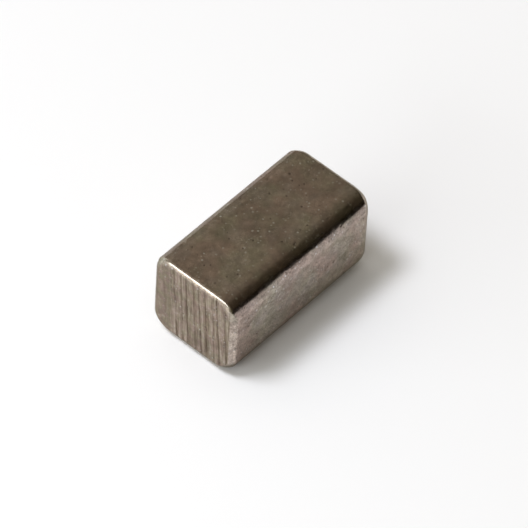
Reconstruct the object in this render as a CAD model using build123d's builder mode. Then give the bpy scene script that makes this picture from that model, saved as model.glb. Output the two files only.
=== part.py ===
from build123d import *
from math import cos, radians, sin
import os

os.makedirs("parts", exist_ok=True)

# A parallel key: a short piece of drawn square key steel that sits half in a slot in a shaft and
# half in a slot in a hub, and carries the turning force from one to the other.
# Frame: +X along the key, +Y across its two working sides, +Z from the face seated in the shaft
# to the face under the hub. The origin is the middle of the seated face. All sizes in millimetres.

# ---- The bar --------------------------------------------------------------------------------
key_width = 5.0  # between the two working sides
key_height = 5.0  # from the seated face to the face under the hub
key_length = 9.7  # cut end to cut end: a nominal 10, less what the cuts and the tumbling took
edge_radius = 1.1  # the four long edges, drawn round on the bar

# ---- The cut ends ---------------------------------------------------------------------------
end_radius = 0.65  # the rim of each cut end, rubbed round in the tumbling barrel
mark_pitch = 0.38  # from one mark of the blade to the next, one step of its feed
mark_depth = 0.04  # the deepest mark, below the face of the cut
mark_width = 0.16  # across the mouth of the deepest mark
mark_lean = 6.0  # degrees that the marks lean off the key's height
clean_band = 1.47  # the strip beside the +Y side where the blade broke through and left no mark
last_band = 0.47  # the strip beside the -Y side, where the blade went in

# The blade's step, depth and lean all wander a little from mark to mark.
step_wander = 0.12  # share of the pitch
depth_wander = 0.3  # share of the depth
lean_wander = 0.4  # share of the lean

# ---- What follows from them -----------------------------------------------------------------
mid_height = key_height / 2
half_length = key_length / 2
rim_radius = min(end_radius, 0.45 * min(key_width, key_height, key_length))
corner_radius = min(edge_radius, 0.45 * min(key_width, key_height))
groove_radius = (mark_width**2 / 4 + mark_depth**2) / (2 * mark_depth)
mark_count = int((key_width - clean_band - last_band) / mark_pitch) + 1


def mark_plane(number, end):
    """The plane square to one mark, at mid height, for the end at -X (-1) or +X (+1)."""
    wander = sin(2.4 * number)
    depth = mark_depth * (1 - depth_wander * (1 + wander) / 2)
    lean = radians(mark_lean * (1 + lean_wander * cos(1.7 * number)))
    across = key_width / 2 - clean_band - mark_pitch * (number + step_wander * wander)
    outside = end * (half_length + groove_radius - depth)
    return Plane(origin=(outside, across, mid_height), x_dir=(1, 0, 0), z_dir=(0, sin(lean), cos(lean)))


# ---- The key --------------------------------------------------------------------------------
with BuildPart() as parallel_key:
    # The drawn bar: a square section with round corners, as long as the key.
    with BuildSketch(Plane.YZ.offset(-half_length)):
        with Locations((0, mid_height)):
            RectangleRounded(key_width, key_height, corner_radius)
    extrude(amount=key_length)

    # Both cut ends lose their sharp rims.
    end_faces = parallel_key.faces().filter_by(Axis.X)
    fillet(end_faces.edges(), radius=rim_radius)

    # The blade's marks: shallow round-bottomed grooves side by side across each cut end. They run
    # out where the rounded rim falls away below them.
    for end in (-1, 1):
        with BuildSketch(*[mark_plane(number, end) for number in range(mark_count)]):
            Circle(groove_radius)
        extrude(amount=key_height, both=True, mode=Mode.SUBTRACT)

parallel_key.part.label = "parallel_key"
export_step(parallel_key.part, "parts/parallel_key.step")

box = parallel_key.part.bounding_box()
print(f"parallel_key: {box.size.X:.2f} x {box.size.Y:.2f} x {box.size.Z:.2f} mm,", end=" ")
print(f"{parallel_key.part.volume:.1f} mm3, {mark_count} marks on each end")
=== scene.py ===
# %% [markdown]
# # A parallel key
# A parallel key is a short length of square steel that sits half in a shaft and half in a hub,
# and makes the two turn together. This one was cut from drawn bar and tumbled, so its edges are
# round, its sides are satin and its ends still show the blade. The solid model gives the size
# and the place. This script gives the skin: every small dent, mark and change of colour.

# %% Load the solid model
from math import atan2, cos, degrees, pi, radians, sin, tan
from random import Random

import bmesh
import bpy
from mathutils import Matrix, Quaternion, Vector, noise


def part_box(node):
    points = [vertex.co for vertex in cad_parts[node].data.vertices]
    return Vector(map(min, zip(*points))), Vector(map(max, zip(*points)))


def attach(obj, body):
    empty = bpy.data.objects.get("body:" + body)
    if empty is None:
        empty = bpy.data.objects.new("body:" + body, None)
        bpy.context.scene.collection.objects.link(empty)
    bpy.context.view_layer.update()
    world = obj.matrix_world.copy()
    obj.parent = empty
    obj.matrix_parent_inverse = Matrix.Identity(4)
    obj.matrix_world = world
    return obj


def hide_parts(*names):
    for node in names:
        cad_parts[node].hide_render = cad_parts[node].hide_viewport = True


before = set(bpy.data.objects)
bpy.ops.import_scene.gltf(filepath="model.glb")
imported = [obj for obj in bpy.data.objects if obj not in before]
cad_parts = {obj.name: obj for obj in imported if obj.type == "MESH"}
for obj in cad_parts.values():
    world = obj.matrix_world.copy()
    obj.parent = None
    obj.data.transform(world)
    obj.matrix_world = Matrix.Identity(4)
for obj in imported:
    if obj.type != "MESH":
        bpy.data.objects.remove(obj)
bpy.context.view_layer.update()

MM = 0.001
low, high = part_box("parallel_key")
middle = (low + high) / 2
half = (high - low) / 2
print("The key is", [round(2 * h / MM, 2) for h in half], "mm long, wide and high")

# %% [markdown]
# ## The camera
# The camera stands well back with a long lens, as it would for a catalogue picture of a small
# part, so the key's long edges stay almost parallel. It could be placed by its coordinates, but
# two angles say more: how far round the key it stands, and how high above the table. A slight
# roll tips the key as a hand would hold the camera.

# %% Place the camera
CAMERA_TURN = radians(-51.6)
CAMERA_HEIGHT = radians(49.9)
CAMERA_ROLL = radians(4.25)
CAMERA_DISTANCE = 231.7 * MM
CAMERA_ASIDE = 0.088 * MM
CAMERA_DROP = 0.258 * MM
LENS = 342.6
SENSOR = 36.0
NEAREST, FARTHEST = 0.01, 10.0

level_back = Vector((sin(CAMERA_TURN), -cos(CAMERA_TURN), 0))
back = level_back * cos(CAMERA_HEIGHT) + Vector((0, 0, sin(CAMERA_HEIGHT)))
level_right = (-back).cross(Vector((0, 0, 1))).normalized()
level_up = level_right.cross(-back)
right = level_right * cos(CAMERA_ROLL) + level_up * sin(CAMERA_ROLL)
up = level_up * cos(CAMERA_ROLL) - level_right * sin(CAMERA_ROLL)

camera = bpy.data.objects.new("camera", bpy.data.cameras.new("camera"))
camera.data.lens = LENS
camera.data.sensor_width = SENSOR
camera.data.clip_start = NEAREST
camera.data.clip_end = FARTHEST
camera.matrix_world = Matrix((right, up, back)).transposed().to_4x4()
camera.location = middle + back * CAMERA_DISTANCE + right * CAMERA_ASIDE - up * CAMERA_DROP
bpy.context.scene.collection.objects.link(camera)
bpy.context.scene.camera = camera
print("The camera stands at", [round(c / MM, 1) for c in camera.location], "mm")

# %% [markdown]
# ## An even net for the skin
# On the real key the skin is where everything happens, and it is one unbroken surface. A bevelled
# block would have the right form, but each of its cut ends would be one many-sided face, with
# nothing inside it to press a mark into. So a cube is cut into an even net of small squares, which
# later slide onto the rounded form. Most cuts go across the ends, where the marks are narrowest.

# %% Cut a cube into a net
# Along the key, across it and up.
CUTS = (160, 124, 96)

net = bmesh.new()
bmesh.ops.create_cube(net, size=2)
# The cube runs from -1 to 1, so an edge is longer than 1 on the axis that it follows, and on no other.
for axis, cuts in enumerate(CUTS):
    along = [e for e in net.edges if abs(e.verts[0].co[axis] - e.verts[1].co[axis]) > 1]
    bmesh.ops.subdivide_edges(net, edges=along, cuts=cuts, use_grid_fill=True)
print("The net has", len(net.verts), "corners and", len(net.faces), "squares")

# %% [markdown]
# ## The section of the bar
# The bar was drawn through a square die with round corners, and no two corners of a worn die are
# quite alike. A bevel would give each edge its radius, but it would leave the net uneven where the
# edges meet. So the next helper takes a point of a plain square and slides it onto the section, and
# can pull the whole section inwards, which the ends need. It also says which way the skin faces
# there, because dents go in against that way.

# %% Slide a point onto the bar's section
# By edge: on the near (-1) or the far side (1), and at the underside (-1) or the top (1).
DRAWN_RADIUS = {(-1, 1): 1.1 * MM, (1, 1): 1.02 * MM, (-1, -1): 1.1 * MM, (1, -1): 1.1 * MM}


def signs(y, z):
    """Which of the bar's four long edges a point is nearest to."""
    return (1 if y > 0 else -1, 1 if z > 0 else -1)


def section(y, z, radius, inset):
    """Where a point of the square lies on the bar's outline, pulled in by inset, and the way it faces."""
    sign_y, sign_z = signs(y, z)
    flat_y, flat_z = half.y - radius, half.z - radius
    over_y, over_z = (abs(y) - flat_y) / radius, (abs(z) - flat_z) / radius
    if over_y > 0 and over_z > 0:
        turn = pi / 4 * over_z if over_y >= over_z else pi / 2 - pi / 4 * over_y
        facing = Vector((0, sign_y * cos(turn), sign_z * sin(turn)))
        return Vector((0, sign_y * flat_y, sign_z * flat_z)) + facing * (radius - inset), facing
    if over_y > over_z:
        return Vector((0, sign_y * (half.y - inset), z)), Vector((0, sign_y, 0))
    return Vector((0, y, sign_z * (half.z - inset))), Vector((0, 0, sign_z))


print("The long edges have a radius of about", round(DRAWN_RADIUS[-1, 1] / MM, 2), "mm")

# %% [markdown]
# ## The rims of the cut ends
# Cutting leaves a sharp rim, and tumbling wears it to something between a flat chamfer and a
# round. A superellipse gives exactly that: its power is 2 for a quarter circle and 1 for a flat
# chamfer, and a power in between leaves a soft facet with clear borders, which catches the light
# as one crisp line. No rim is worn evenly, so two short tables say how far it reaches at a few
# places round each end. The end that was cut last kept the sharper rim at its top.

# %% Say how far the rims reach
# Degrees from the top towards the near side, then how far the rim reaches in mm, along and across.
CUT_FIRST_RIM = ((0, 0.34, 0.32), (45, 0.30, 0.27), (90, 0.45, 0.36), (135, 0.72, 0.52), (180, 0.47, 0.47),
                 (360, 0.34, 0.32))
CUT_LAST_RIM = ((0, 0.19, 0.33), (30, 0.22, 0.36), (60, 0.20, 0.30), (82, 0.33, 0.25), (90, 0.36, 0.26),
                (135, 0.40, 0.42), (180, 0.47, 0.47), (270, 0.38, 0.38), (360, 0.19, 0.33))


def ease(value, start, stop):
    """0 below start, 1 above stop, and smooth between."""
    share = min(1.0, max(0.0, (value - start) / (stop - start)))
    return share * share * (3 - 2 * share)


def rim_reach(end, facing):
    """How far the rim reaches along the bar and across the end, where the section faces this way."""
    turned = degrees(atan2(-facing.y, facing.z)) % 360
    stops = CUT_LAST_RIM if end < 0 else CUT_FIRST_RIM
    for (start, *before), (stop, *after) in zip(stops, stops[1:]):
        if turned <= stop:
            return Vector(before).lerp(Vector(after), ease(turned, start, stop)) * MM


print("The top rims reach", CUT_FIRST_RIM[0][1], "and", CUT_LAST_RIM[0][1], "mm along the key")

# %% [markdown]
# ## From the net to the key
# The sides, the rims and the ends could be three meshes joined along their borders, but each join
# would show in the shine. Here one helper places any corner of the net: a corner far from the end
# goes on the plain section, one near it goes on the rim, and one on the end goes on a smaller
# copy of the section. The rows of the net crowd towards the ends, where the rims need them.

# %% Slide a corner of the net onto the key
RIM_POWER = 1.45
CROWDING = 1.3
TINY = 1e-6


def on_rim(circular):
    """A sine or cosine of the turn round the rim, made into its share on the superellipse."""
    return max(circular, 0.0) ** (2 / RIM_POWER)


def round_off(corner):
    """Where a corner of the net lies on the key, from its middle, and the way the skin faces there."""
    end = 1 if corner.x > 0 else -1
    ring = max(abs(corner.y), abs(corner.z), TINY)
    y, z = corner.y / ring * half.y, corner.z / ring * half.z
    from_end = (1 - abs(corner.x)) ** CROWDING * half.x
    from_side = (1 - ring) * half.y
    radius = DRAWN_RADIUS[signs(y, z)]
    place, facing = section(y, z, radius, 0)
    along, across = rim_reach(end, facing)
    if from_end >= along:
        return place + Vector((end * (half.x - from_end), 0, 0)), facing
    turn = pi / 4 * (1 - from_end / along) + pi / 4 * min(from_side / across, 1)
    outwards, endwards = on_rim(cos(turn)), on_rim(sin(turn))
    place, facing = section(y, z, radius, across * (1 - outwards))
    if from_side > across:
        place *= (half.y - from_side) / (half.y - across)
    place.x = end * (half.x - along * (1 - endwards))
    slope = facing * outwards ** (RIM_POWER - 1) / across
    slope.x = end * endwards ** (RIM_POWER - 1) / along
    return place, slope.normalized()


top_rim = round_off(Vector((1, 0, 1)))[1]
print("The middle of the top rim faces", round(degrees(atan2(top_rim.x, top_rim.z))), "degrees off the top")

# %% [markdown]
# ## The marks of the blade
# The bar was cut off with a toothed blade. Each tooth leaves a shallow groove, so the cut end is
# covered in grooves that lean the way the blade leaned. The deep ones stand a step of the feed
# apart, as in the solid model, and finer ones lie between them. One band of the end, where the
# blade broke through, is almost clean. A picture of grooves would be quicker, but it would stay
# flat at the rim, where grooves made in the mesh notch the edge.

# %% Lay out the blade's marks
MARK_PITCH = 0.38 * MM
MARK_DEPTH = 0.04 * MM
MARK_LEAN = radians(5)
CLEAN_BAND = 1.47 * MM
LAST_BAND = 0.47 * MM
DEEP_WIDTH = 0.075 * MM
STEP_WANDER, LEAN_WANDER, DEPTH_WANDER = 0.12, 0.12, 0.15
FINE_MARKS = 46
# From least to most: lean against the usual, width and depth in mm, then where a fine mark starts and
# how long it is, against half the key's height.
FINE_LEAN = (0.85, 1.15)
FINE_WIDTH = (0.035, 0.06)
FINE_DEPTH = (0.008, 0.022)
FINE_START = (-1.4, 0.6)
FINE_LENGTH = (0.6, 2.0)
chance = Random(5)


def deep_marks():
    """The evenly spaced grooves: each one's place across the end, lean, half width, depth and reach."""
    count = int((2 * half.y - CLEAN_BAND - LAST_BAND) / MARK_PITCH) + 1
    for number in range(count):
        wander = sin(2.4 * number)
        across = half.y - CLEAN_BAND - MARK_PITCH * (number + STEP_WANDER * wander)
        lean = tan(MARK_LEAN * (1 + LEAN_WANDER * cos(1.7 * number)))
        depth = MARK_DEPTH * (1 - DEPTH_WANDER - DEPTH_WANDER * wander)
        yield across, lean, DEEP_WIDTH, depth, (-2 * half.z, 2 * half.z)


def fine_marks(count):
    """Shorter, narrower and shallower grooves at random places, up to halfway into the clean band."""
    for _ in range(count):
        across = chance.uniform(-half.y, half.y - 0.5 * CLEAN_BAND)
        lean = tan(MARK_LEAN * chance.uniform(*FINE_LEAN))
        width = chance.uniform(*FINE_WIDTH) * MM
        depth = chance.uniform(*FINE_DEPTH) * MM
        start = chance.uniform(*FINE_START) * half.z
        yield across, lean, width, depth, (start, start + chance.uniform(*FINE_LENGTH) * half.z)


blade_marks = list(deep_marks()) + list(fine_marks(FINE_MARKS))
print(len(blade_marks), "blade marks on each end")

# %% [markdown]
# ## How deep a mark goes
# No tooth cuts evenly. Along each groove the depth swells and fades with a slow noise, which each
# groove reads at a place of its own, so no two swell together. A groove that stops short runs out
# over less than half a millimetre. Where two grooves cross, only the deeper one counts.

# %% Measure the marks at a point
FADE = 0.4 * MM
WOBBLE = 0.55 * MM
GROOVES_APART = 0.25 * MM
ENDS_APART = 9
USUAL_SHARE, SWING = 0.75, 0.35


def mark_depth(y, z, end):
    """How deep the blade's marks go at one point of a cut end."""
    deepest = 0.0
    for across, lean, width, depth, (start, stop) in blade_marks:
        off = abs(y - across - lean * z) / width
        if off < 1 and start < z < stop:
            fade = min(1, (z - start) / FADE, (stop - z) / FADE)
            own_place = across / GROOVES_APART + end * ENDS_APART
            wobble = USUAL_SHARE + SWING * noise.noise(Vector((own_place, z / WOBBLE, 3.7)))
            deepest = max(deepest, depth * fade * wobble * (1 - off * off))
    return deepest


middle_row = [mark_depth(half.y * step / 50, 0, 1) for step in range(-50, 51)]
print("Deepest across the middle of an end:", round(max(middle_row) / MM, 3), "mm")

# %% [markdown]
# ## The wear of drawn and tumbled steel
# Drawing leaves the sides almost flat, with a faint orange peel. Tumbling among other keys adds
# small pits, and rubs the rims smooth and the corners blunt, some more than others. All of it only
# takes metal away, so the skin is pushed in and never out, and the key keeps its size.

# %% Helpers for swells and pits
def swell(place, size, seed):
    """Smooth noise from 0 to 1, with bumps of about the given size."""
    return 0.5 + 0.5 * noise.noise(place / size + Vector((seed, seed * 1.7, seed * 0.6)))


def pit(place, spacing, radius, share, seed):
    """1 at the bottom of a round pit and 0 outside. Only a share of the places has one."""
    near = noise.voronoi(place / spacing + Vector((seed, seed, seed)))
    # The nearest pit's middle, moved far enough that each middle falls in a cell of its own.
    luck = noise.cell(near[1][0] * 9.7)
    if luck > share:
        return 0.0
    off = near[0][0] * spacing / (radius * (0.5 + 0.5 * luck / share))
    return max(0.0, 1 - off * off) ** 1.5


print("A swell at the middle of the key:", round(swell(Vector(), MM, 1.0), 2))

# %% [markdown]
# ## One depth for every point
# The helper below adds up all that takes metal away at one point: a slow sag of the faces, the
# peel, two sizes of pit, the worn corners and the blade's marks. The rims were rubbed after the
# cut, so the peel and the pits are faint there and the marks run out over them. One top corner was
# spared, and two others took a knock.

# %% Add up the dents
# Each has a depth and a size, and the pits a spacing, a radius and the share of places with one.
SAG, SAG_SIZE = 0.010 * MM, 2.6 * MM
PEEL, PEEL_SIZE = 0.008 * MM, 0.45 * MM
RIPPLE, RIPPLE_SIZE = 0.004 * MM, 0.2 * MM
LARGE_PIT, LARGE_PITS = 0.030 * MM, (0.62 * MM, 0.16 * MM, 0.35)
SMALL_PIT, SMALL_PITS = 0.018 * MM, (0.36 * MM, 0.11 * MM, 0.45)
# By corner: at the last (-1) or first cut (1), on the near (-1) or far side (1), below (-1) or on top (1).
CORNER_WEAR = {(-1, -1, 1): 0.0, (-1, 1, 1): 0.06 * MM, (1, -1, -1): 0.06 * MM}
USUAL_CORNER_WEAR = 0.03 * MM
RUBBED_AWAY = 0.85
RUN_OUT = 0.4


def corner_share(facing):
    """1 where the skin faces straight out of a corner, and 0 on every face and edge."""
    return 3 * 3 ** 0.5 * abs(facing.x * facing.y * facing.z)


def skin_depth(place, facing):
    """How far the skin lies below the perfect form, and how deep the blade marked it."""
    rubbed = RUBBED_AWAY * ease(abs(facing.x), 0.1, 0.5) * (1 - ease(abs(facing.x), 0.9, 1.0))
    corner = tuple(1 if c > 0 else -1 for c in place)
    sunk = SAG * swell(place, SAG_SIZE, seed=1.0)
    sunk += (1 - rubbed) * PEEL * swell(place, PEEL_SIZE, seed=3.0)
    sunk += (1 - rubbed) * RIPPLE * swell(place, RIPPLE_SIZE, seed=8.0)
    sunk += CORNER_WEAR.get(corner, USUAL_CORNER_WEAR) * corner_share(facing)
    sunk += (1 - rubbed) * LARGE_PIT * pit(place, *LARGE_PITS, seed=2.0)
    sunk += (1 - rubbed) * SMALL_PIT * pit(place, *SMALL_PITS, seed=11.0)
    if abs(facing.x) < 0.3:
        return sunk, 0.0
    cut = mark_depth(place.y, place.z, corner[0]) - RUN_OUT * (half.x - abs(place.x))
    cut = max(0.0, cut) * ease(abs(facing.x), 0.3, 0.7)
    return sunk + cut, cut


deepest_sum = SAG + PEEL + RIPPLE + LARGE_PIT + SMALL_PIT + MARK_DEPTH
print("The flat skin sinks by at most", round(deepest_sum / MM, 3), "mm")

# %% [markdown]
# ## Make the skin
# Now each corner of the net slides onto the key and goes in by its depth. The blade never cuts
# quite square, so the end that was cut first leans in a little towards its top. Where a mark runs
# over a tight rim, its points can pass each other and leave a fold. So every spot that is still too
# sharp is smoothed in a few rounds, as tumbling rubs down a burr. The result is a closed mesh of
# four-sided faces, shaded smooth, because the net is finer than anything on it.

# %% Push the skin in
CUT_LEAN = 0.085 * MM
BURR_ANGLE = radians(24)
BURR_PASSES = 8

skin = [round_off(v.co) for v in net.verts]
for place, facing in skin:
    if place.x > 0:
        place.x *= 1 - CUT_LEAN / half.x * (place.z + half.z) / (2 * half.z)
depths = [skin_depth(place, facing) for place, facing in skin]
for v, (place, facing), (sunk, cut) in zip(net.verts, skin, depths):
    v.co = middle + place - facing * sunk

for _ in range(BURR_PASSES):
    net.normal_update()
    burrs = [v for v in net.verts if any(e.calc_face_angle(0.0) > BURR_ANGLE for e in v.link_edges)]
    bmesh.ops.smooth_vert(net, verts=burrs, factor=0.5, use_axis_x=True, use_axis_y=True, use_axis_z=True)
print("Points on a burr in the last round of rubbing:", len(burrs))

mesh = bpy.data.meshes.new("key_skin")
net.to_mesh(mesh)
net.free()
mesh.shade_smooth()
print("Deepest dent", round(max(sunk for sunk, cut in depths) / MM, 3), "mm")

# %% [markdown]
# ## Tell the material where it is
# The colour of the key changes from place to place: the cut ends, the rubbed rims and the drawn
# edges each have their own. The material could guess this from the normal, but the dents would
# spoil the guess. So the net stores it, one number for each corner, in named attributes. Most of
# them depend on how far the skin faces along the key (x), across it (y) or up (z).

# %% Store the places on the mesh
CLEAN_FADE = 0.6


def on_drawn_edge(facing):
    """1 on the rounded edges that run along the key, and 0 on the faces and the ends."""
    across = max(TINY, (facing.y ** 2 + facing.z ** 2) ** 0.5)
    flatness = max(abs(facing.y), abs(facing.z)) / across
    return ease(1 - flatness, 0.0, 0.045) * (1 - ease(abs(facing.x), 0.3, 0.7))


def in_marks(place):
    """1 where the blade left its marks and 0.2 in the clean band."""
    return 1 - 0.8 * ease(place.y, half.y - CLEAN_BAND, half.y - CLEAN_FADE * CLEAN_BAND)


def on_rubbed_rim(facing):
    """1 on the rims between the faces and the ends."""
    return ease(abs(facing.x), 0.05, 0.3) * (1 - ease(abs(facing.x), 0.85, 0.97))


places = {
    "blade_mark": [cut / MARK_DEPTH for sunk, cut in depths],
    "marked_band": [in_marks(place) for place, facing in skin],
    "flat_face": [ease(max(abs(f) for f in facing), 0.94, 0.99) for place, facing in skin],
    "working_side": [ease(abs(facing.y), 0.5, 0.9) for place, facing in skin],
    "drawn_edge": [on_drawn_edge(facing) for place, facing in skin],
    "cut_end": [ease(abs(facing.x), 0.80, 0.97) for place, facing in skin],
    "rubbed_rim": [on_rubbed_rim(facing) for place, facing in skin],
    "corner": [corner_share(facing) for place, facing in skin],
}
for name, values in places.items():
    layer = mesh.attributes.new(name, "FLOAT", "POINT")
    layer.data.foreach_set("value", values)
print("Stored", ", ".join(places))

# %% [markdown]
# ## The skin takes the solid's place
# The skin rides on the key's only body and stands in for the plain solid, which stays hidden for
# collisions.

# %% Put the skin on the key
key = bpy.data.objects.new("key_skin", mesh)
bpy.context.scene.collection.objects.link(key)
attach(key, "root")
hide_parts("parallel_key")
print(key.name, "stands in for parallel_key")

# %% [markdown]
# ## Drawn key steel
# The real thing is plain carbon key steel, cold drawn and tumbled until satin. To the eye it is a
# soft mirror: it shows dark and pale parts of the room without any edges, in a warm grey that
# drifts between pinkish and olive. Two helpers serve every pattern: one turns a hex colour into
# the linear numbers that shaders use, and one adds any node with its settings and links.

# %% Helpers for colours and nodes
def srgb(hex_code):
    """A hex colour as the linear numbers that shaders use."""
    channels = [int(hex_code[i : i + 2], 16) / 255 for i in (1, 3, 5)]
    return [c / 12.92 if c <= 0.04045 else ((c + 0.055) / 1.055) ** 2.4 for c in channels] + [1.0]


def add(tree, kind, *values, give="", **named):
    """
    Add a node and give one of its outputs, the first if no name is asked for. Values fill its
    inputs in order, names with a capital fill the input of that name, and other names are settings.
    """
    node = tree.nodes.new("ShaderNode" + kind)
    for name, value in named.items():
        if name[0].islower():
            setattr(node, name, value)
    filled = list(zip([socket for socket in node.inputs if socket.enabled], values))
    for name, value in named.items():
        if name[0].isupper():
            filled.append((node.inputs[name.replace("_", " ")], value))
    for socket, value in filled:
        if isinstance(value, bpy.types.NodeSocket):
            tree.links.new(value, socket)
        else:
            socket.default_value = value
    outputs = [output for output in node.outputs if output.enabled and give in output.name]
    return outputs[0] if outputs else node


def per(millimetres):
    """The scale of a pattern whose features are this many millimetres apart."""
    return 1 / (millimetres * MM)


print("Pure white is", srgb("#FFFFFF")[:3], "to a shader")

# %% [markdown]
# ### Start the steel
# Patterns could follow a flattened map of the skin, but a map has seams. Object coordinates run
# straight through the steel, so one pattern passes over an edge without a join. The stored places
# come in through one Attribute node each.

# %% Start the steel
steel = bpy.data.materials.new("drawn_key_steel")
steel.use_nodes = True
nodes = steel.node_tree
nodes.nodes.clear()
where = add(nodes, "TexCoord", give="Object")
stored = {name: add(nodes, "Attribute", give="Fac", attribute_name=name) for name in places}
print("Material", steel.name, "reads", len(stored), "stored places")

# %% [markdown]
# ### Grain
# Real satin steel has detail at every size down to a few hundredths of a millimetre. The finest
# here is 0.075 mm, coarser than the real grain, because anything finer would not show. A slow noise
# says where the grain and the specks crowd together.

# %% Grain of the drawn skin
GRAIN = 0.075
GRIT = 0.2
CROWD = 1.1

fine = add(nodes, "TexNoise", Vector=where, Scale=per(GRAIN), Detail=2.0, Roughness=0.6)
grit = add(nodes, "TexNoise", Vector=where, Scale=per(GRIT), Detail=2.0, Roughness=0.6)
gathered = add(nodes, "TexNoise", Vector=where, Scale=per(CROWD), Detail=2.0)
crowd = add(nodes, "MapRange", gathered, 0.44, 0.62)
print("Grain", GRAIN, "mm and grit", GRIT, "mm, crowded every", CROWD, "mm or so")

# %% [markdown]
# ### Specks
# A speck is pale where a burr stands up and dark where a pit holds oil. Scattered little spheres
# would be heavy, and a Voronoi pattern does the same: it has one round cell for each speck, with a
# random colour that picks the share of them that is lit and how large each is. Slightly bent
# coordinates keep them from looking drawn with a compass.

# %% Specks of the drawn skin
SPECK = 0.17
DARK_PIT = 0.22
SIDE_PIT = 0.15
BRUISE = 0.33
BEND = 0.06 * MM
LARGEST_SPECK = 0.42

shift = add(nodes, "TexNoise", Vector=where, Scale=per(GRIT), give="Color")
bent = add(nodes, "VectorMath", shift, (BEND, BEND, BEND), where, operation="MULTIPLY_ADD")


def specks(spacing, lit_share, soft, place, strength):
    """Small round specks at a mean spacing in millimetres, of which a share is lit, each to a strength."""
    cell = add(nodes, "TexVoronoi", Vector=place, Scale=per(spacing), give="Color")
    distance = cell.node.outputs["Distance"]
    luck = add(nodes, "SeparateColor", cell, give="Red")
    reach = add(nodes, "MapRange", luck, 1 - lit_share, 1.0, 0.0, LARGEST_SPECK)
    inside = add(nodes, "Math", reach, distance, operation="SUBTRACT")
    round_speck = add(nodes, "MapRange", inside, 0.0, soft)
    return add(nodes, "Math", round_speck, strength, operation="MULTIPLY")


lit = add(nodes, "MapRange", crowd, 0.0, 1.0, 0.4, 1.0)
few_on_ends = add(nodes, "MapRange", stored["cut_end"], 0.0, 1.0, 1.0, 0.4)
bright_specks = specks(SPECK, 0.46, 0.14, bent, lit)
dark_pits = specks(DARK_PIT, 0.24, 0.22, bent, few_on_ends)
side_pits = specks(SIDE_PIT, 0.40, 0.2, bent, stored["working_side"])
clear_of_rims = add(nodes, "Math", 1.0, stored["rubbed_rim"], operation="SUBTRACT")
on_edges = add(nodes, "Math", stored["drawn_edge"], clear_of_rims, operation="MULTIPLY")
bruises = specks(BRUISE, 0.02, 0.35, where, on_edges)
print("Specks about", SPECK, "mm apart, dark pits", DARK_PIT, "mm and bruises", BRUISE, "mm")

# %% [markdown]
# ### Scuffs
# Other keys scuffed this one in the tumbler. A scuff is a short curved line with a bright and a
# dark side. Drawn one by one they would take long, but a slow noise has all of them inside it: the
# places where it passes one level form thin curves, and those where it passes a level just above
# run beside them. A second and a third noise keep only pieces of them, and only on the flat faces.

# %% Short curved scuffs
CURL = 0.42
PALE_LEVEL = 0.50
DARK_LEVEL = 0.555
# How far from its level a line starts to show, and how far from it the line is full.
LINE_EDGE, LINE_CORE = 0.035, 0.010
# Size in mm of the noise that keeps pieces of the lines, and where it starts and is full.
PIECES = ((0.8, 0.48, 0.60), (GRIT, 0.48, 0.58))

curl = add(nodes, "TexNoise", Vector=where, Scale=per(CURL), Detail=1.0)
off_the_end = add(nodes, "Math", 1.0, stored["cut_end"], operation="SUBTRACT")
here = add(nodes, "Math", stored["flat_face"], off_the_end, operation="MULTIPLY")
for size, start, stop in PIECES:
    patch = add(nodes, "TexNoise", Vector=where, Scale=per(size), Detail=1.0)
    piece = add(nodes, "MapRange", patch, start, stop)
    here = add(nodes, "Math", here, piece, operation="MULTIPLY")


def scuffs(level):
    """Thin curved lines where the slow noise passes a level."""
    above = add(nodes, "Math", curl, level, operation="SUBTRACT")
    away = add(nodes, "Math", above, operation="ABSOLUTE")
    line = add(nodes, "MapRange", away, LINE_EDGE, LINE_CORE)
    return add(nodes, "Math", line, here, operation="MULTIPLY")


raised, sunken = scuffs(PALE_LEVEL), scuffs(DARK_LEVEL)
print("Scuffs up to about", CURL, "mm long")

# %% [markdown]
# ### Streaks along the blade's marks
# Between the grooves the cut end is torn into light and dark streaks. They are noise that is drawn
# out along the marks: the Mapping node turns the pattern by the blade's lean and stretches it.
# Along the key it hardly changes, so a streak runs out over the rim as a straight line.

# %% Streaks of the cut end
WIDE_STREAK = (0.20, 2.4)
THIN_STREAK = (0.09, 1.4)
STREAK_IN = 8 * MM


def streaks(width, length, detail):
    """Noise drawn out along the blade's marks, with a width and a length in millimetres."""
    place = add(nodes, "Mapping", Vector=where, Rotation=(-MARK_LEAN, 0, 0),
                Scale=(STREAK_IN, width * MM, length * MM), vector_type="TEXTURE")
    return add(nodes, "TexNoise", Vector=place, Scale=1.0, Detail=detail, Roughness=0.55)


wide_streaks = streaks(*WIDE_STREAK, 2.0)
thin_streaks = streaks(*THIN_STREAK, 3.0)
marked = add(nodes, "Math", stored["cut_end"], stored["marked_band"], operation="MULTIPLY")
print("Streaks", WIDE_STREAK[0], "and", THIN_STREAK[0], "mm wide")

# %% [markdown]
# ### The colour of drawn steel
# Layer goes over layer, the broad ones first. Drawn steel is never one grey: the drawing soap and
# the oil leave pinkish, olive and cloudy patches a millimetre or so across. Noise keeps to about
# 0.3 to 0.7, so a Map Range that starts above 0.4 picks its higher half, with a soft rim. The drawn
# edges get painted shade, which dims the room that they mirror; the rubbed rims are a little
# yellower and the corners greyer.

# %% Colour the drawn faces, edges and rims
PINKISH, OLIVE, CLOUDY = srgb("#B1A097"), srgb("#A8A193"), srgb("#B3A8A3")
RUBBED, CORNER_GREY = srgb("#A69C90"), srgb("#9C9B8B")
EDGE_PAINTED_SHADE, RIM_SHARE, CORNER_PATCH = 0.82, 0.5, 0.9
# Size in mm, detail, where the noise starts and is full, the most it covers, and the colour.
PATCHES = ((1.6, 3.0, 0.42, 0.60, 1.0, OLIVE), (0.75, 2.0, 0.45, 0.70, 0.6, CLOUDY))

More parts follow.
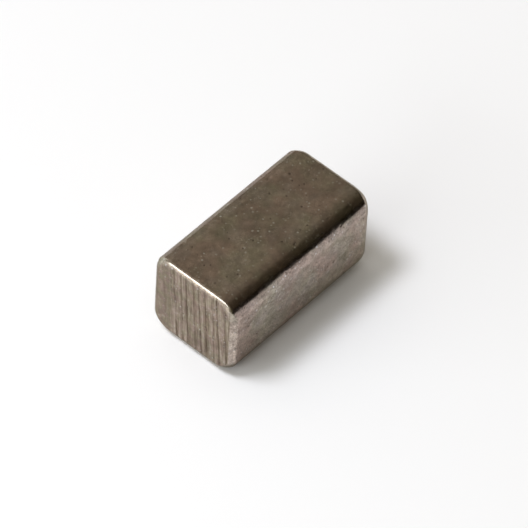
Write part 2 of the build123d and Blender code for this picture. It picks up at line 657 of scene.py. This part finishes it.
colour = PINKISH
for size, detail, start, stop, most, tint in PATCHES:
    patch = add(nodes, "TexNoise", Vector=where, Scale=per(size), Detail=detail)
    share = add(nodes, "MapRange", patch, start, stop, 0.0, most)
    colour = add(nodes, "Mix", share, colour, tint, data_type="RGBA")
# Painted shade: the drawn edges are darkened, which dims the room that they mirror.
shade = add(nodes, "MapRange", stored["drawn_edge"], 0.0, 1.0, 1.0, EDGE_PAINTED_SHADE)
colour = add(nodes, "HueSaturation", Color=colour, Value=shade)
share = add(nodes, "Math", stored["rubbed_rim"], RIM_SHARE, operation="MULTIPLY")
colour = add(nodes, "Mix", share, colour, RUBBED, data_type="RGBA")
patch = add(nodes, "TexNoise", Vector=where, Scale=per(CORNER_PATCH))
share = add(nodes, "MapRange", patch, 0.4, 0.6, 0.2, 0.7)
share = add(nodes, "Math", stored["corner"], share, operation="MULTIPLY")
colour = add(nodes, "Mix", share, colour, CORNER_GREY, data_type="RGBA")
print("Coloured the drawn skin in", len(PATCHES) + 3, "layers")

# %% [markdown]
# ### The colour of the cut ends
# The blade tore the ends open, so they are duller and browner than the faces. The torn streaks are
# paler and darker than the metal between them, and the grooves are darkest: partly from the dirt
# that they hold, and partly from painted shade in their hollows.
# The clean band has no streaks and is a shade darker than the torn metal.

# %% Colour the cut ends
SAWN_PINK, SAWN_OLIVE = srgb("#9B8A80"), srgb("#948B79")
TORN_LIGHT, TORN_DARK, GROOVE_DIRT_AND_SHADE = srgb("#C2B6A9"), srgb("#75675B"), srgb("#5F5145")
CLEAN_SHADE, SAWN_PATCH, GROOVE_DIRT_AND_SHADE_SHARE = 0.84, 0.4, 0.8
# How much of its light and of its dark colour each kind of streak shows.
TORN_SHARES = ((wide_streaks, 0.40, 0.40), (thin_streaks, 0.55, 0.65))

patch = add(nodes, "TexNoise", Vector=where, Scale=per(SAWN_PATCH))
share = add(nodes, "MapRange", patch, 0.4, 0.6)
sawn = add(nodes, "Mix", share, SAWN_PINK, SAWN_OLIVE, data_type="RGBA")
shade = add(nodes, "MapRange", stored["marked_band"], 0.2, 1.0, CLEAN_SHADE, 1.0)
sawn = add(nodes, "HueSaturation", Color=sawn, Value=shade)
colour = add(nodes, "Mix", stored["cut_end"], colour, sawn, data_type="RGBA")
for streak, light_share, dark_share in TORN_SHARES:
    torn = add(nodes, "MapRange", streak, 0.52, 0.68, 0.0, light_share)
    torn = add(nodes, "Math", torn, marked, operation="MULTIPLY")
    colour = add(nodes, "Mix", torn, colour, TORN_LIGHT, data_type="RGBA")
    torn = add(nodes, "MapRange", streak, 0.46, 0.34, 0.0, dark_share)
    torn = add(nodes, "Math", torn, marked, operation="MULTIPLY")
    colour = add(nodes, "Mix", torn, colour, TORN_DARK, data_type="RGBA")
# Painted shade and dirt: the grooves darken with their depth.
share = add(nodes, "MapRange", stored["blade_mark"], 0.1, 0.8, 0.0, GROOVE_DIRT_AND_SHADE_SHARE)
colour = add(nodes, "Mix", share, colour, GROOVE_DIRT_AND_SHADE, data_type="RGBA")
print("Coloured the ends with", 2 * len(TORN_SHARES), "kinds of streak")

# %% [markdown]
# ### Grain, drift, scuffs and specks in the colour
# Last come the layers that lie over everything. The grain is strongest on the working sides, which
# rubbed against other keys, and where it is crowded. A slow drift makes whole parts of a face a
# little lighter or darker. Scuffs and specks have colours of their own, and the rims and the cut
# ends keep only a few of the pale specks.

# %% Finish the colour
SPECK_WHITE, SCUFF_WHITE, PIT_DARK = srgb("#E2E3E4"), srgb("#D6D0C9"), srgb("#54473F")
# Each grain's strength on the working sides and on the rims.
GRAIN_SHARES = ((fine, 1.2, 0.25), (grit, 0.35, 1.0))
# Size in mm, detail, and how far the drift swings the brightness.
DRIFTS = ((0.3, 1.0, 0.06), (0.6, 2.0, 0.13), (3.2, 1.0, 0.12))

coarse = add(nodes, "MapRange", crowd, 0.0, 1.0, 0.2, 0.62)
for grain, on_sides, on_rims in GRAIN_SHARES:
    centred = add(nodes, "Math", grain, 0.5, operation="SUBTRACT")
    strength = add(nodes, "Math", stored["working_side"], on_sides, coarse, operation="MULTIPLY_ADD")
    strength = add(nodes, "Math", stored["rubbed_rim"], on_rims, strength, operation="MULTIPLY_ADD")
    shade = add(nodes, "Math", centred, strength, 1.0, operation="MULTIPLY_ADD")
    colour = add(nodes, "HueSaturation", Color=colour, Value=shade)
for size, detail, swing in DRIFTS:
    patch = add(nodes, "TexNoise", Vector=where, Scale=per(size), Detail=detail)
    shade = add(nodes, "MapRange", patch, 0.3, 0.7, 1 - swing, 1 + swing)
    colour = add(nodes, "HueSaturation", Color=colour, Value=shade)
few_on_rims = add(nodes, "MapRange", stored["rubbed_rim"], 0.0, 1.0, 0.75, 0.3)
speck_share = add(nodes, "Math", few_on_ends, few_on_rims, operation="MULTIPLY")
scuff_share = add(nodes, "MapRange", stored["working_side"], 0.0, 1.0, 0.2, 0.42)
small_layers = ((bright_specks, speck_share, SPECK_WHITE), (raised, scuff_share, SCUFF_WHITE),
                (sunken, scuff_share, PIT_DARK), (side_pits, 0.5, PIT_DARK), (dark_pits, 0.65, PIT_DARK))
for pattern, share, tint in small_layers:
    share = add(nodes, "Math", pattern, share, operation="MULTIPLY")
    colour = add(nodes, "Mix", share, colour, tint, data_type="RGBA")
print("Mixed the colours of", steel.name)

# %% [markdown]
# ### Gloss and relief
# A typical satin steel has a roughness near 0.2, and it varies a little with the tumbling. The
# bump carries only what is too fine for the net: the grain, the thin streaks, the scuffs and the
# pits. It fades on the rubbed rims and the drawn edges, which would otherwise look furry. A few
# hard bruises on the drawn edges stay sharp, and each of them glints. At a grazing angle a metal
# mirrors more than face on, and the Specular Tint holds that sheen down and keeps it warm.

# %% Finish the steel
RELIEF = 0.010 * MM
POLISHED, DULL = 0.15, 0.25
GLOSS_PATCH, PEEL_GRAIN = 0.5, 0.14
SHEEN = (0.55, 0.52, 0.48, 1.0)
TORN_RELIEF, SCUFF_RELIEF, BRUISE_RELIEF = 1.4, 0.35, 2.4
SMOOTH_PLACES = (("rubbed_rim", 0.2), ("drawn_edge", 0.6))

wear = add(nodes, "TexNoise", Vector=where, Scale=per(GLOSS_PATCH), Detail=3.0, Roughness=0.6)
gloss = add(nodes, "MapRange", wear, 0.3, 0.7, POLISHED, DULL)
peel = add(nodes, "TexNoise", Vector=where, Scale=per(PEEL_GRAIN), Detail=3.0, Roughness=0.6)
torn = add(nodes, "Math", marked, TORN_RELIEF, operation="MULTIPLY")
relief = add(nodes, "Math", thin_streaks, torn, peel, operation="MULTIPLY_ADD")
relief = add(nodes, "Math", relief, dark_pits, operation="SUBTRACT")
relief = add(nodes, "Math", raised, SCUFF_RELIEF, relief, operation="MULTIPLY_ADD")
for name, left in SMOOTH_PLACES:
    smooth = add(nodes, "MapRange", stored[name], 0.0, 1.0, 1.0, left)
    relief = add(nodes, "Math", relief, smooth, operation="MULTIPLY")
relief = add(nodes, "Math", bruises, BRUISE_RELIEF, relief, operation="MULTIPLY_ADD")
bump = add(nodes, "Bump", Height=relief, Strength=1.0, Distance=RELIEF)
surface = add(nodes, "BsdfPrincipled", Base_Color=colour, Metallic=1.0, Roughness=gloss, Normal=bump,
              Specular_Tint=SHEEN)
add(nodes, "OutputMaterial", Surface=surface)
mesh.materials.append(steel)
print(steel.name, "has", len(nodes.nodes), "nodes")

# %% [markdown]
# ## The table
# The key lies on a wide sheet of matt white paper. A bright lamp could bleach any table, but then
# the key would bleach too. Here the paper's own colour makes the background white, so the lamps
# stay at a plain level, and the sheet keeps the key's soft shadow.

# %% Lay the paper
PAPER_SIZE = 1.5

sheet = bmesh.new()
bmesh.ops.create_grid(sheet, x_segments=1, y_segments=1, size=PAPER_SIZE)
floor_mesh = bpy.data.meshes.new("floor")
sheet.to_mesh(floor_mesh)
sheet.free()
floor = bpy.data.objects.new("floor", floor_mesh)
bpy.context.scene.collection.objects.link(floor)
paper = bpy.data.materials.new("white_paper")
paper.use_nodes = True
matt = paper.node_tree.nodes["Principled BSDF"].inputs
matt["Base Color"].default_value = srgb("#F8F8F8")
matt["Roughness"].default_value = 1.0
matt["Specular IOR Level"].default_value = 0.0
floor_mesh.materials.append(paper)
print("The paper is", 2 * PAPER_SIZE, "m wide")

# %% [markdown]
# ## The lamps
# A window high on the left gives the soft shadow, and a wide pale ceiling fills it. Both are kept
# out of the steel's reflections, because the top of the key should mirror a quiet room. Two low
# lights on the left do the opposite, and are there to be mirrored. A strip lamp draws one bright
# line along the rim, and under it a long, dim panel stands in for a pale wall, so that the rest of
# the rim isn't dark.

# %% Light the key
# Where each lamp stands, in metres from the key.
WINDOW_WAY = Vector((-0.175, 0.175, 0.5))
CEILING_WAY = Vector((-0.06, 0.06, 0.5))
STRIP_WAY = Vector((-0.125, 0.034, 0.0475))
STRIP_ROLL = radians(11)
WALL_WAY = Vector((-0.124, 0.060, 0.018))
DAYLIGHT, COOL_LAMP, WALL_WHITE = "#F4F7FF", "#F2FAFF", "#FFFFFF"


def lamp(name, way, width, height, glow, tint, roll=0.0):
    """An even lamp of a size in metres that looks at the key, as bright as a surface of that glow."""
    light = bpy.data.lights.new(name, "AREA")
    light.shape = "RECTANGLE"
    light.size, light.size_y = width, height
    light.energy = glow * pi * width * height
    light.color = srgb(tint)[:3]
    holder = bpy.data.objects.new(name, light)
    holder.location = way
    aim = (middle - way).to_track_quat("-Z", "Y") @ Quaternion((0, 0, 1), roll)
    holder.rotation_euler = aim.to_euler()
    holder.visible_camera = False
    bpy.context.scene.collection.objects.link(holder)
    print(name, "glows", glow, "at", round(way.length, 2), "m")
    return holder


lamp("window", WINDOW_WAY, 0.16, 0.16, 22.5, DAYLIGHT).visible_glossy = False
lamp("ceiling", CEILING_WAY, 0.72, 0.72, 0.46, DAYLIGHT).visible_glossy = False
lamp("strip", STRIP_WAY, 0.165, 0.029, 5.4, COOL_LAMP, STRIP_ROLL)
lamp("pale_wall", WALL_WAY, 0.24, 0.034, 0.95, WALL_WHITE)

# %% [markdown]
# ## The room
# Steel looks like steel because of what it mirrors. The room is pale on the left and falls off to a
# dark corner low on the right, so the top of the key shows a quiet warm grey and the near drawn
# edge shows a dark band. One direction sets where the dark corner lies, and a Color Ramp sets how
# fast the room darkens towards it. Blue fades first, so the dark corner is warm.

# %% Make the room
DARK_WAY = (0.36, -0.86, -0.36)
ROOM = (0.281, 0.250, 0.194)
DARKEST = (0.0045, 0.002, 0.0005)
WARMTH = (1.0, 1.05, 1.18)
# How far round towards the dark corner, and the share of the room's light that is left there.
FALL = ((0.10, 1.9), (0.19, 1.45), (0.24, 1.15), (0.28, 1.0), (0.43, 1.0), (0.52, 0.95), (0.575, 0.80),
        (0.62, 0.55), (0.686, 0.33), (0.79, 0.26), (0.83, 0.22), (0.879, 0.08), (0.93, 0.0))

world = bpy.data.worlds.new("room")
world.use_nodes = True
room = world.node_tree
room.nodes.clear()
toward_dark = add(room, "VectorMath", add(room, "TexCoord", give="Generated"), DARK_WAY,
                  operation="DOT_PRODUCT", give="Value")
ramp = add(room, "ValToRGB", add(room, "Math", toward_dark, 0.5, 0.5, operation="MULTIPLY_ADD"))
stops = ramp.node.color_ramp.elements
for number, (at, share) in enumerate(FALL):
    # A new ramp has two stops already.
    stop = stops[number] if number < 2 else stops.new(at)
    stop.position = at
    stop.color = [max(c * share ** warm, d) for c, warm, d in zip(ROOM, WARMTH, DARKEST)] + [1]
add(room, "OutputWorld", Surface=add(room, "Background", Color=ramp))
bpy.context.scene.world = world
bpy.context.scene.view_settings.view_transform = "Standard"
print("The room darkens in", len(stops), "steps")

# %% [markdown]
# ## The size
# The skin was only ever pushed in, so its box may not be larger than the solid's.

# %% Finish
print("The key's skin is finished")
